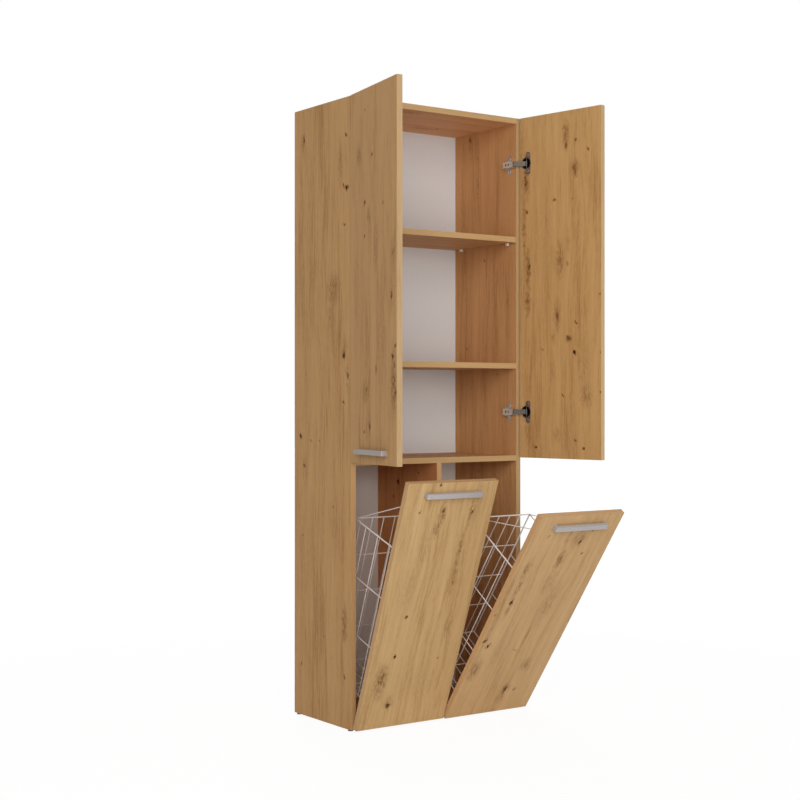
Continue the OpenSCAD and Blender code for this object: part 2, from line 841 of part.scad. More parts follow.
// A clip that holds a rod of diameter d against the back of the front
module clip(d) {
    block = d + 2 * clip_rim;
    rod_y_at = basket_gap + rod_d / 2;
    difference() {
        union() {
            translate([-block / 2, 0, -clip_h / 2]) cube([block, rod_y_at + d / 2 + clip_rim, clip_h]);
            translate([0, 0, -clip_h / 2]) cube([rod_d / 2 + clip_tongue, clip_t, clip_h]);
        }
        rod_z(0, rod_y_at, -clip_h / 2 - over, clip_h / 2 + over, d + play);
        translate([clip_screw_x, -over, 0]) rotate([-90, 0, 0])
            cylinder(d = screw_d + play, h = clip_t + 2 * over);
    }
}

// The screw through a clip's tongue
module clip_screw() {
    translate([clip_screw_x, 0, 0]) rotate([0, 0, 90]) wood_screw(clip_t);
}

module tilt_basket(side) swing_tilt(side) basket(side);

module tilt_clips(side) {
    color(white) swing_tilt(side) translate([side * tilt_mid_x, 0, 0]) {
        at_corner_clips() clip(rod_d);
        at_stay_clips() clip(stay_d);
    }
}

module tilt_clip_screws(side) {
    color(steel) swing_tilt(side) translate([side * tilt_mid_x, 0, 0]) {
        at_corner_clips() clip_screw();
        at_stay_clips() clip_screw();
    }
}

// ---------------------------------------------------------------- nodes

side(LEFT);  // side_left
side(RIGHT);  // side_right
top_board();
bottom_board();
middle_board();
partition();
fixed_shelf();
loose_shelf();
shelf_pegs();
back_upper();
back_lower();
back_nails();
dowels();
cam_bolts();
cam_discs();
glides();
for (s = SIDES) at_door_hinges(s) hinge_plate();  // door_hinge_plates
for (s = SIDES) at_door_hinges(s) hinge_arm();  // door_hinge_arms
for (s = SIDES) at_door_hinges(s) plate_screws();  // door_plate_screws
for (s = SIDES) at_door_hinges(s) arm_screw();  // door_arm_screws
for (s = SIDES) at_tilt_hinges(s) hinge_plate();  // tilt_hinge_plates
for (s = SIDES) at_tilt_hinges(s) hinge_arm();  // tilt_hinge_arms
for (s = SIDES) at_tilt_hinges(s) plate_screws();  // tilt_plate_screws
for (s = SIDES) at_tilt_hinges(s) arm_screw();  // tilt_arm_screws
door_board(LEFT);  // door_left_board
door_handle(LEFT);  // door_left_handle
door_handle_screws(LEFT);  // door_left_handle_screws
door_cups(LEFT);  // door_left_cups
door_cup_pins(LEFT);  // door_left_cup_pins
door_cup_screws(LEFT);  // door_left_cup_screws
door_links(LEFT);  // door_left_links
door_board(RIGHT);  // door_right_board
door_handle(RIGHT);  // door_right_handle
door_handle_screws(RIGHT);  // door_right_handle_screws
door_cups(RIGHT);  // door_right_cups
door_cup_pins(RIGHT);  // door_right_cup_pins
door_cup_screws(RIGHT);  // door_right_cup_screws
door_links(RIGHT);  // door_right_links
tilt_board(LEFT);  // tilt_left_board
tilt_handle(LEFT);  // tilt_left_handle
tilt_handle_screws(LEFT);  // tilt_left_handle_screws
tilt_cups(LEFT);  // tilt_left_cups
tilt_cup_pins(LEFT);  // tilt_left_cup_pins
tilt_cup_screws(LEFT);  // tilt_left_cup_screws
tilt_links(LEFT);  // tilt_left_links
tilt_basket(LEFT);  // tilt_left_basket
tilt_clips(LEFT);  // tilt_left_clips
tilt_clip_screws(LEFT);  // tilt_left_clip_screws
tilt_board(RIGHT);  // tilt_right_board
tilt_handle(RIGHT);  // tilt_right_handle
tilt_handle_screws(RIGHT);  // tilt_right_handle_screws
tilt_cups(RIGHT);  // tilt_right_cups
tilt_cup_pins(RIGHT);  // tilt_right_cup_pins
tilt_cup_screws(RIGHT);  // tilt_right_cup_screws
tilt_links(RIGHT);  // tilt_right_links
tilt_basket(RIGHT);  // tilt_right_basket
tilt_clips(RIGHT);  // tilt_right_clips
tilt_clip_screws(RIGHT);  // tilt_right_clip_screws
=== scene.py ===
# %% [markdown]
# # A bathroom storage tower in oak decor
#
# The real object is a flat-pack tower of faced chipboard. Two doors stand open
# over the shelves. Below them two fronts tilt out, each with a wire laundry
# basket on its back. The exact solids come from a imported CAD model. This lesson
# dresses them: it gives each solid a finish worked out from the real material,
# and replaces the two plain baskets by finer ones. We start by loading the model.

import math

import bpy
from mathutils import Matrix, Vector


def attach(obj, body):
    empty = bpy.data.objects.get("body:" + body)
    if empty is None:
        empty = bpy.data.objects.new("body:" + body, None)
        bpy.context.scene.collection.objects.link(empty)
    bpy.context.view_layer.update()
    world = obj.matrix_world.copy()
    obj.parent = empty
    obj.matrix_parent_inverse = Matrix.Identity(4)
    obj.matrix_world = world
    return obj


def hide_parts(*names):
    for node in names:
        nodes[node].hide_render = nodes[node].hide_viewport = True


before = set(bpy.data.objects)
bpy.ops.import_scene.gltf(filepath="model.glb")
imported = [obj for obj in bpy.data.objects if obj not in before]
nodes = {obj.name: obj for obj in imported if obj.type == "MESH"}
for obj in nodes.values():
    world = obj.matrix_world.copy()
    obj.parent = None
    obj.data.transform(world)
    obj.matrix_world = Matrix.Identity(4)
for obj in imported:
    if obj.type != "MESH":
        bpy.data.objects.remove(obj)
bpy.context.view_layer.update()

# %% [markdown]
# ## One frame for everything
#
# All lengths below are written in millimetres, as on a workshop drawing, and
# turned to metres by one factor. The doors and fronts are easiest to think of
# while shut, so each gets a matrix that swings it from shut to where it stands.
# The same matrix, turned round, later tells a material where a point lay on the
# shut panel, so that the grain follows the board and not the room.

# %% Lengths and swings
MM = 0.001
CARCASS_FRONT = -300
DOOR_ANGLE = 100
DOOR_AXIS_X, DOOR_AXIS_Y = 298.5, -310
TILT_AXIS_Y, TILT_AXIS_Z = -319, -7
TILTS = {"left": 20, "right": 35}
SIDE_SIGN = {"left": -1, "right": 1}


def swung(angle, axis, point):
    """The matrix that turns about an axis through a point given in mm."""
    place = Matrix.Translation(Vector(point) * MM)
    return place @ Matrix.Rotation(math.radians(angle), 4, axis) @ place.inverted()


SWINGS = {}
for hand, sign in SIDE_SIGN.items():
    SWINGS["door_" + hand] = swung(sign * DOOR_ANGLE, "Z", (sign * DOOR_AXIS_X, DOOR_AXIS_Y, 0))
    SWINGS["tilt_" + hand] = swung(TILTS[hand], "X", (0, TILT_AXIS_Y, TILT_AXIS_Z))
print("swung panels:", ", ".join(SWINGS))

# %% [markdown]
# ## The camera
#
# The photograph was taken level, from the left, about four metres away. The
# focal length and the place were found by fitting a pinhole camera to the
# cabinet's straight edges. The camera stays level so that the uprights stay
# parallel, and a tiny vertical shift puts the horizon where the photograph has
# it.

# %% Camera
CAMERA_PLACE = (-2.5461, -3.7262, 0.9113)
CAMERA_LEVEL = math.radians(90)
CAMERA_HEADING = -0.6130
SENSOR_WIDTH, FOCAL_LENGTH = 36, 67.42
HORIZON_SHIFT = -0.00175
FAR_LIMIT = 100

camera = bpy.data.objects.new("camera", bpy.data.cameras.new("camera"))
bpy.context.collection.objects.link(camera)
camera.location = CAMERA_PLACE
camera.rotation_euler = (CAMERA_LEVEL, 0, CAMERA_HEADING)
camera.data.sensor_width = SENSOR_WIDTH
camera.data.lens = FOCAL_LENGTH
camera.data.shift_y = HORIZON_SHIFT
camera.data.clip_end = FAR_LIMIT
bpy.context.scene.camera = camera
print("camera at", tuple(camera.location))

# %% [markdown]
# ## Two small helpers for finishes
#
# A finish is a little network of nodes. Colours are written as the sRGB hex
# values that a colour picker gives, but a shader adds light, which is linear, so
# one function converts them. One more function adds a node, sets it up and wires
# it, and that is all the machinery that every finish below needs.


# %% Colour and node helpers
def linear(hex_colour):
    """A linear RGBA colour from an sRGB hex value."""
    parts = [int(hex_colour[i : i + 2], 16) / 255 for i in (1, 3, 5)]
    return tuple(c / 12.92 if c < 0.04045 else ((c + 0.055) / 1.055) ** 2.4 for c in parts) + (1,)


def add(tree, kind, inputs=None, **settings):
    """Adds a shader node, sets it up, and links or fills its inputs."""
    made = tree.nodes.new("ShaderNode" + kind)
    for name, value in settings.items():
        setattr(made, name, value)
    for name, value in (inputs or {}).items():
        if isinstance(value, bpy.types.NodeSocket):
            tree.links.new(value, made.inputs[name])
        else:
            made.inputs[name].default_value = value
    return made


def new_finish(name, **surface):
    """A material with one Principled surface, and that surface's node."""
    finish = bpy.data.materials.new(name)
    finish.use_nodes = True
    tree = finish.node_tree
    shader = tree.nodes["Principled BSDF"]
    for key, value in surface.items():
        shader.inputs[key.replace("_", " ")].default_value = value
    return finish, tree, shader


print("helpers ready")

# %% [markdown]
# ## Oak decor, the face of every board
#
# The boards are chipboard pressed with a printed melamine paper: a photograph of
# knotty oak under a hard, slightly embossed resin. To the eye that gives a honey
# wood with long streaks, darker clouds where the grain is disturbed, small near
# black knots, and a dull, even sheen that never varies with the grain.
#
# A picture could be wrapped on, but a procedural pattern has no seams and no
# limit of sharpness. The pattern is drawn on a flat sheet with two coordinates:
# *across* and *along* the grain, in millimetres. Each board first works out
# where on that sheet a point of its surface lies. Faces, edges and the two sides
# of a board are different cuttings of the sheet, as they are in a factory.

# %% The sheet's pattern, as a node group
OAK_LIGHT = linear("#d7a978")
OAK_MIDDLE = linear("#c99c6b")
OAK_DARK = linear("#a9794d")
OAK_CLOUD = linear("#714624")
OAK_HALO = linear("#6f4120")
OAK_KNOT = linear("#371a08")

decor = bpy.data.node_groups.new("oak decor sheet", "ShaderNodeTree")
for name, way, kind in (
    ("Sheet", "INPUT", "NodeSocketVector"),
    ("Clouds", "INPUT", "NodeSocketFloat"),
    ("Knots", "INPUT", "NodeSocketFloat"),
    ("Color", "OUTPUT", "NodeSocketColor"),
    ("Height", "OUTPUT", "NodeSocketFloat"),
):
    decor.interface.new_socket(name, in_out=way, socket_type=kind)
sheet_in = decor.nodes.new("NodeGroupInput")
sheet_out = decor.nodes.new("NodeGroupOutput")


def grain_noise(tree, sheet, width, length, detail=2.0, roughness=0.5):
    """Noise whose spots are about width mm across the grain and length mm along it."""
    squeezed = add(tree, "VectorMath", {0: sheet, 1: (1 / width, 1 / length, 1)}, operation="MULTIPLY")
    noise = add(
        tree, "TexNoise",
        {"Vector": squeezed.outputs[0], "Scale": 1.0, "Detail": detail, "Roughness": roughness},
    )
    return noise.outputs["Fac"]


# Slow wandering of the grain, 12 mm to either side over most of a metre; round a
# cloud or a knot the fibres swerve by some millimetres more
WANDER = 12.0
CLOUD_SWERVE, KNOT_SWERVE = 16.0, 7.0
wander = grain_noise(decor, sheet_in.outputs["Sheet"], 170, 620)
shift = add(decor, "MapRange", {"Value": wander, "From Min": 0.3, "From Max": 0.7, "To Min": -WANDER, "To Max": WANDER})
swerve = add(
    decor, "Math", {0: sheet_in.outputs["Clouds"], 1: CLOUD_SWERVE, 2: shift.outputs[0]}, operation="MULTIPLY_ADD"
)
swerve = add(
    decor, "Math", {0: sheet_in.outputs["Knots"], 1: KNOT_SWERVE, 2: swerve.outputs[0]}, operation="MULTIPLY_ADD"
)
offset = add(decor, "CombineXYZ", {"X": swerve.outputs[0]})
bent = add(decor, "VectorMath", {0: sheet_in.outputs["Sheet"], 1: offset.outputs[0]}, operation="ADD").outputs[0]

# Growth bands 38 mm wide, streaks 10 mm, fibres 2.5 mm and short flecks, as sawn
# oak shows them, each with its share in the tone
BAND_SHARE, STREAK_SHARE, FIBRE_SHARE, FLECK_SHARE = 0.85, 0.7, 0.7, 0.35
DARKEST_TONE, LIGHTEST_TONE = 0.92, 1.67
bands = grain_noise(decor, bent, 38, 700, 2.0)
streaks = grain_noise(decor, bent, 10, 200, 3.0, 0.6)
fibres = grain_noise(decor, bent, 2.5, 90, 3.0, 0.65)
flecks = grain_noise(decor, bent, 5, 22, 3.0, 0.7)
tone = add(decor, "Math", {0: bands, 1: BAND_SHARE}, operation="MULTIPLY").outputs[0]
tone = add(decor, "Math", {0: streaks, 1: STREAK_SHARE, 2: tone}, operation="MULTIPLY_ADD").outputs[0]
tone = add(decor, "Math", {0: fibres, 1: FIBRE_SHARE, 2: tone}, operation="MULTIPLY_ADD").outputs[0]
tone = add(decor, "Math", {0: flecks, 1: FLECK_SHARE, 2: tone}, operation="MULTIPLY_ADD").outputs[0]
spread = add(decor, "MapRange", {"Value": tone, "From Min": DARKEST_TONE, "From Max": LIGHTEST_TONE})
ramp = add(decor, "ValToRGB", {"Fac": spread.outputs[0]})
ramp.color_ramp.elements[0].color = OAK_DARK
ramp.color_ramp.elements[1].color = OAK_LIGHT
middle = ramp.color_ramp.elements.new(0.45)
middle.color = OAK_MIDDLE

# Clouds darken the wood, mottled by fine cracks of darker grain; a knot has a
# brown halo and a nearly black heart
mottle = grain_noise(decor, bent, 3.2, 18, 4.0, 0.75)
cloud_depth = add(
    decor, "MapRange", {"Value": mottle, "From Min": 0.42, "From Max": 0.62, "To Min": 0.12, "To Max": 1.15}
)
cloud = add(
    decor, "Math", {0: sheet_in.outputs["Clouds"], 1: cloud_depth.outputs[0]}, operation="MULTIPLY", use_clamp=True
)
clouded = add(decor, "Mix", {0: cloud.outputs[0], 6: ramp.outputs["Color"], 7: OAK_CLOUD}, data_type="RGBA")
halo = add(decor, "MapRange", {"Value": sheet_in.outputs["Knots"], "From Max": 0.6, "To Max": 0.8})
heart = add(decor, "MapRange", {"Value": sheet_in.outputs["Knots"], "From Min": 0.5, "From Max": 0.95})
haloed = add(decor, "Mix", {0: halo.outputs[0], 6: clouded.outputs[2], 7: OAK_HALO}, data_type="RGBA")
knotted = add(decor, "Mix", {0: heart.outputs[0], 6: haloed.outputs[2], 7: OAK_KNOT}, data_type="RGBA")

# The press plate's pores: shallow ticks 1 mm wide and 14 mm long
pores = grain_noise(decor, sheet_in.outputs["Sheet"], 1.1, 14, 1.0)
decor.links.new(knotted.outputs[2], sheet_out.inputs["Color"])
decor.links.new(pores, sheet_out.inputs["Height"])
print("decor sheet has", len(decor.nodes), "nodes")

# %% [markdown]
# ## Knots and clouds
#
# What makes this oak rustic are its flaws. Each is a soft ellipse on the sheet:
# a *knot* is a few millimetres wide and almost black, a *cloud* is a long darker
# patch around disturbed grain. On the panels that the photograph shows they lie
# where it has them, noted as (across, along, half width, half length, strength)
# on the shut panel. All other surfaces get scattered ones from a cell pattern
# stretched along the grain, with a random few of its cells switched on.

# %% The flaws of the panels that show
FRONT_KNOTS = {
    "tilt_left_board": [
        (-194, 728, 3, 6, 0.9), (-243, 652, 3, 4, 0.8), (-164, 654, 4, 8, 0.8), (-68, 647, 4, 6, 0.9),
        (-213, 343, 4, 6, 0.9), (-222, 225, 5, 6, 1.0), (-71, 206, 3, 5, 0.8), (-210, 74, 7, 9, 1.0),
        (-250, 165, 3, 8, 0.5), (-172, 610, 3, 10, 0.5),
    ],
    "tilt_right_board": [
        (186, 640, 5, 7, 0.9), (215, 597, 4, 4, 0.9), (214, 680, 4, 3, 0.8), (41, 436, 6, 9, 1.0),
        (33, 279, 7, 8, 1.0), (13, 300, 6, 5, 0.9), (139, 251, 4, 3, 0.6), (147, 247, 3, 3, 0.5),
        (180, 94, 7, 12, 0.9), (214, 87, 4, 3, 1.0), (6, 396, 3, 5, 0.7), (62, 668, 3, 3, 0.6),
    ],
    "door_left_board": [
        (-202, 1682, 5, 4, 0.5), (-158, 1556, 5, 4, 0.8), (-205, 1434, 5, 8, 0.9), (-205, 1345, 6, 4, 0.7),
        (-86, 1422, 4, 4, 0.6), (-33, 1177, 4, 12, 0.95), (-27, 1020, 9, 8, 0.9), (-10, 1047, 7, 6, 0.8),
        (-130, 989, 5, 14, 0.5), (-172, 838, 5, 14, 0.8), (-204, 823, 5, 5, 0.7), (-10, 925, 6, 9, 0.7),
        (-25, 1287, 4, 7, 0.5), (-192, 935, 5, 9, 0.6),
    ],
}
FRONT_CLOUDS = {
    "tilt_left_board": [
        (-170, 640, 16, 42, 0.8), (-180, 600, 14, 34, 0.7), (-74, 640, 7, 60, 0.7), (-82, 540, 8, 60, 0.8),
        (-81, 450, 8, 56, 0.7), (-62, 300, 14, 40, 0.35), (-252, 152, 24, 66, 1.0), (-205, 545, 26, 70, 0.25),
        (-232, 440, 30, 110, 0.22), (-212, 84, 18, 30, 0.4), (-110, 130, 40, 90, 0.2), (-262, 700, 10, 40, 0.3),
    ],
    "tilt_right_board": [
        (178, 650, 26, 30, 0.6), (135, 660, 10, 60, 0.55), (141, 582, 13, 38, 0.85), (37, 553, 12, 44, 0.85),
        (40, 490, 11, 60, 0.7), (42, 430, 10, 60, 0.6), (25, 194, 22, 52, 0.85), (209, 187, 22, 28, 0.6),
        (180, 92, 18, 30, 0.9), (176, 60, 20, 26, 0.5), (178, 425, 30, 90, 0.4), (140, 495, 18, 60, 0.35),
        (15, 320, 8, 50, 0.5), (90, 250, 40, 110, 0.18),
    ],
    "door_left_board": [
        (-244, 1565, 20, 34, 0.6), (-178, 1398, 18, 26, 0.5), (-132, 1310, 18, 80, 0.5), (-27, 1280, 18, 60, 0.4),
        (-22, 950, 22, 110, 1.0), (-202, 929, 24, 40, 0.6), (-172, 850, 10, 60, 0.5), (-110, 1100, 30, 160, 0.25),
        (-33, 1180, 14, 60, 0.45), (-190, 830, 16, 40, 0.3), (-240, 1200, 30, 200, 0.15),
    ],
}
DOOR_INSIDE_KNOTS = [
    (127, 1640, 5, 14, 0.65), (92, 1651, 5, 5, 0.9), (50, 1622, 4, 4, 0.7), (96, 1566, 5, 14, 0.5),
    (104, 1485, 3, 3, 0.6), (170, 1486, 8, 6, 0.6), (274, 1459, 5, 7, 0.8), (265, 1298, 6, 9, 1.0),
    (122, 1298, 4, 8, 0.4), (92, 1130, 4, 4, 0.8), (118, 1085, 9, 9, 0.6), (95, 1043, 6, 7, 1.0),
    (214, 1054, 3, 3, 0.6), (138, 920, 3, 3, 0.8), (0, 1042, 5, 4, 0.9), (6, 1207, 4, 4, 0.8),
    (95, 793, 4, 4, 0.8), (160, 1150, 6, 16, 0.5), (78, 972, 3, 3, 0.6), (3, 929, 4, 4, 0.7),
]
DOOR_INSIDE_CLOUDS = [
    (128, 1672, 17, 50, 0.75), (96, 1572, 20, 30, 0.75), (276, 1560, 13, 70, 1.0), (284, 1400, 8, 120, 0.8),
    # This cloud along the hinge-side edge is painted shade of the narrow gap between door and carcass
    (298, 1630, 14, 170, 0.35),
    (268, 1290, 11, 90, 0.8), (271, 1195, 13, 44, 0.85), (150, 1311, 22, 60, 0.6), (120, 1363, 10, 44, 0.3),
    (160, 1155, 16, 60, 0.7), (173, 1090, 9, 30, 0.5), (117, 1083, 18, 14, 0.4), (54, 922, 26, 44, 0.65),
    (158, 806, 20, 26, 0.4), (173, 994, 9, 60, 0.3), (270, 820, 24, 60, 0.35), (60, 1000, 30, 120, 0.3),
    (200, 1330, 40, 260, 0.16),
]
SIDE_KNOTS = [
    (-56, 1652, 5, 12, 0.7), (-276, 1635, 6, 6, 0.8), (-280, 1490, 9, 9, 0.95), (-264, 1497, 4, 7, 0.8),
    (-268, 1390, 7, 4, 0.8), (-264, 1031, 8, 11, 1.0), (-261, 902, 6, 4, 0.9), (-36, 804, 6, 7, 1.0),
    (-93, 791, 4, 4, 0.6), (-138, 792, 4, 4, 0.6), (-55, 721, 6, 6, 0.6), (-284, 975, 4, 10, 0.7),
    (-47, 520, 5, 6, 0.7), (-210, 612, 4, 4, 0.6), (-42, 150, 4, 7, 0.95), (-266, 146, 3, 6, 0.9),
    (-204, 189, 2, 3, 0.6), (-161, 242, 3, 3, 0.5),
]
SIDE_CLOUDS = [
    (-52, 1640, 14, 40, 0.5), (-212, 1217, 34, 50, 0.7), (-200, 1130, 20, 60, 0.4), (-107, 1276, 26, 40, 0.25),
    (-284, 975, 10, 60, 0.6), (-268, 1050, 18, 40, 0.4), (-246, 1560, 16, 80, 0.4), (-60, 710, 16, 60, 0.35),
    (-90, 500, 30, 160, 0.2), (-220, 560, 24, 120, 0.3), (-268, 292, 18, 60, 0.8), (-50, 1180, 14, 160, 0.25),
]
INNER_KNOTS = [
    (-78, 1706, 5, 9, 0.9), (-150, 1330, 3, 5, 0.6), (-60, 1065, 4, 6, 0.6), (-210, 985, 3, 4, 0.6),
    (-120, 690, 4, 6, 0.6), (-240, 420, 4, 6, 0.7),
]
INNER_CLOUDS = [
    (-78, 1680, 6, 60, 0.45), (-40, 1500, 7, 190, 0.4), (-118, 1560, 4, 150, 0.45), (-60, 1220, 7, 150, 0.4),
    (-190, 1250, 8, 190, 0.2), (-90, 940, 6, 110, 0.35), (-120, 500, 12, 160, 0.35), (-220, 300, 14, 120, 0.3),
]
PARTITION_KNOTS = [(-109, 667, 6, 9, 0.9), (-211, 697, 3, 4, 0.7), (-87, 620, 4, 7, 0.6), (-170, 330, 5, 6, 0.7)]
PARTITION_CLOUDS = [(-109, 655, 10, 50, 0.5), (-180, 560, 10, 120, 0.35), (-60, 420, 14, 120, 0.3)]
print("flaws noted on", len(FRONT_KNOTS) + 4, "faces")

# %% [markdown]
# ## From a point of the board to a point of the sheet
#
# `across`, `along` and `through` name the board's own directions: the grain of
# an upright board runs up, that of a lying board runs sideways. The direction
# in which the surface faces tells whether a point is on a face or on an edge.
# Edges are covered with a thin plastic edging, printed in a tone of its own and
# with the grain along the edge. The sheet is shifted by a different amount
# for each board, so that no two look alike.

# %% Oak finish for one board
BACK_FACE_SHIFT = 1400.0
EDGE_SHIFT, END_SHIFT = 7.3, 3.1
EDGING_COVER = 0.5
SCATTERED_CLOUD_STRENGTH = 0.6
RAGGEDNESS = 5.0
PER_METRE = (1000, 1000, 1000)


def flaw_mask(tree, sheet, flaws, sharpness, reach):
    """The strongest of many soft ellipses at each point of the sheet."""
    total = 0.0
    for across, along, half_width, half_length, strength in flaws:
        away = add(tree, "VectorMath", {0: sheet, 1: (across, along, 0)}, operation="SUBTRACT")
        scaled = add(
            tree, "VectorMath", {0: away.outputs[0], 1: (1 / half_width, 1 / half_length, 0)}, operation="MULTIPLY"
        )
        far = add(tree, "VectorMath", {0: scaled.outputs[0]}, operation="LENGTH")
        near = add(
            tree, "MapRange",
            {
                "Value": far.outputs["Value"], "From Min": sharpness, "From Max": reach,
                "To Min": strength, "To Max": 0.0,
            },
            interpolation_type="SMOOTHSTEP",
        )
        total = add(tree, "Math", {0: near.outputs[0], 1: total}, operation="MAXIMUM").outputs[0]
    return total


def scattered(tree, sheet, width, length, half_width, half_length, share):
    """Soft ellipses in a random share of cells width mm by length mm."""
    cells = add(tree, "VectorMath", {0: sheet, 1: (1 / width, 1 / length, 1)}, operation="MULTIPLY")
    cell = add(
        tree, "TexVoronoi", {"Vector": cells.outputs[0], "Scale": 1.0, "Randomness": 0.9}, voronoi_dimensions="3D"
    )
    away = add(tree, "VectorMath", {0: cells.outputs[0], 1: cell.outputs["Position"]}, operation="SUBTRACT")
    spread = (width / half_width, length / half_length, 0)
    scaled = add(tree, "VectorMath", {0: away.outputs[0], 1: spread}, operation="MULTIPLY")
    far = add(tree, "VectorMath", {0: scaled.outputs[0]}, operation="LENGTH")
    near = add(
        tree, "MapRange",
        {"Value": far.outputs["Value"], "From Min": 0.2, "From Max": 1.2, "To Min": 1.0, "To Max": 0.0},
        interpolation_type="SMOOTHSTEP",
    )
    pick = add(tree, "SeparateColor", {"Color": cell.outputs["Color"]})
    chosen = add(tree, "Math", {0: pick.outputs[0], 1: share}, operation="LESS_THAN")
    return add(tree, "Math", {0: near.outputs[0], 1: chosen.outputs[0]}, operation="MULTIPLY").outputs[0]


def oak_finish(
    name, directions, seed, tint, edging, swing=None, front_flaws=None, back_flaws=None, back_tint=None
):
    """Oak decor for one board. directions gives the letters of across, along and through."""
    finish, tree, shader = new_finish("melamine oak decor " + name, Roughness=0.55, IOR=1.5, Specular_IOR_Level=0.08)
    place = add(tree, "TexCoord")
    unswing = swing.inverted() if swing else Matrix()
    turn = unswing.to_euler()
    spot = add(
        tree, "Mapping",
        {"Vector": place.outputs["Object"], "Location": unswing.to_translation(), "Rotation": turn},
        vector_type="POINT",
    )
    facing = add(tree, "Mapping", {"Vector": place.outputs["Normal"], "Rotation": turn}, vector_type="POINT")
    spot = add(tree, "VectorMath", {0: spot.outputs[0], 1: PER_METRE}, operation="MULTIPLY")
    at = add(tree, "SeparateXYZ", {0: spot.outputs[0]}).outputs
    face = add(tree, "SeparateXYZ", {0: facing.outputs[0]}).outputs
    across, along, through = ("XYZ".index(letter) for letter in directions)

    on_back = add(tree, "Math", {0: face[through], 1: 0.0}, operation="GREATER_THAN").outputs[0]
    back_along = add(tree, "Math", {0: on_back, 1: BACK_FACE_SHIFT, 2: at[along]}, operation="MULTIPLY_ADD").outputs[0]
    face_sheet = add(tree, "CombineXYZ", {0: at[across], 1: back_along, 2: seed}).outputs[0]
    side_edge = add(tree, "CombineXYZ", {0: at[through], 1: at[along], 2: seed + EDGE_SHIFT}).outputs[0]
    end_edge = add(tree, "CombineXYZ", {0: at[through], 1: at[across], 2: seed + END_SHIFT}).outputs[0]

    flat = add(tree, "Math", {0: face[through]}, operation="ABSOLUTE").outputs[0]
    is_edge = add(tree, "Math", {0: flat, 1: 0.5}, operation="LESS_THAN").outputs[0]
    end = add(tree, "Math", {0: face[along]}, operation="ABSOLUTE").outputs[0]
    is_end = add(tree, "Math", {0: end, 1: 0.5}, operation="GREATER_THAN").outputs[0]
    edges = add(tree, "Mix", {0: is_end, 4: side_edge, 5: end_edge}, data_type="VECTOR").outputs[1]
    sheet = add(tree, "Mix", {0: is_edge, 4: face_sheet, 5: edges}, data_type="VECTOR").outputs[1]

    # Ragged outlines: every flaw is looked up a little beside its place
    ragged = grain_noise(tree, face_sheet, 6, 14, 3.0, 0.65)
    nudge = add(
        tree, "MapRange",
        {"Value": ragged, "From Min": 0.3, "From Max": 0.7, "To Min": -RAGGEDNESS, "To Max": RAGGEDNESS},
    )
    both = add(tree, "CombineXYZ", {0: nudge.outputs[0], 1: nudge.outputs[0]})
    torn = add(tree, "VectorMath", {0: face_sheet, 1: both.outputs[0]}, operation="ADD").outputs[0]
    knots = scattered(tree, torn, 120, 330, 4.5, 6.5, 0.3)
    clouds = scattered(tree, torn, 90, 260, 18, 60, 0.35)
    clouds = add(tree, "Math", {0: clouds, 1: SCATTERED_CLOUD_STRENGTH}, operation="MULTIPLY").outputs[0]
    for flaws, is_back in ((front_flaws, False), (back_flaws, True)):
        if not flaws:
            continue
        shift = BACK_FACE_SHIFT if is_back else 0.0
        placed = [[(a, b + shift, w, l, s) for a, b, w, l, s in group] for group in flaws]
        drawn_knots = flaw_mask(tree, torn, placed[0], 0.15, 1.45)
        drawn_clouds = flaw_mask(tree, torn, placed[1], 0.1, 1.25)
        here = on_back if is_back else add(tree, "Math", {0: 1.0, 1: on_back}, operation="SUBTRACT").outputs[0]
        knots = add(tree, "Mix", {0: here, 2: knots, 3: drawn_knots}).outputs[0]
        clouds = add(tree, "Mix", {0: here, 2: clouds, 3: drawn_clouds}).outputs[0]
    plain_face = add(tree, "Math", {0: 1.0, 1: is_edge}, operation="SUBTRACT").outputs[0]
    knots = add(tree, "Math", {0: knots, 1: plain_face}, operation="MULTIPLY").outputs[0]
    clouds = add(tree, "Math", {0: clouds, 1: plain_face}, operation="MULTIPLY").outputs[0]

    print_layer = add(tree, "Group", node_tree=decor)
    tree.links.new(sheet, print_layer.inputs["Sheet"])
    tree.links.new(clouds, print_layer.inputs["Clouds"])
    tree.links.new(knots, print_layer.inputs["Knots"])
    half_edge = add(tree, "Math", {0: is_edge, 1: EDGING_COVER}, operation="MULTIPLY").outputs[0]
    edged = add(tree, "Mix", {0: half_edge, 6: print_layer.outputs["Color"], 7: edging}, data_type="RGBA")
    # Each face is multiplied by its tint: the board's own tone, and on some faces painted shade or painted light
    tint_and_shade = add(tree, "Mix", {0: on_back, 6: (*tint, 1), 7: (*(back_tint or tint), 1)}, data_type="RGBA").outputs[2]
    tinted_and_shaded = add(
        tree, "Mix", {0: plain_face, 6: edged.outputs[2], 7: tint_and_shade}, data_type="RGBA", blend_type="MULTIPLY"
    )
    tree.links.new(tinted_and_shaded.outputs[2], shader.inputs["Base Color"])
    bump = add(tree, "Bump", {"Height": print_layer.outputs["Height"], "Strength": 0.12, "Distance": 0.0002})
    tree.links.new(bump.outputs[0], shader.inputs["Normal"])
    return finish


def dress(name, finish):
    """Gives a solid of the CAD model its finish."""
    slots = nodes[name].data.materials
    slots.clear()
    slots.append(finish)


print("oak finish ready")
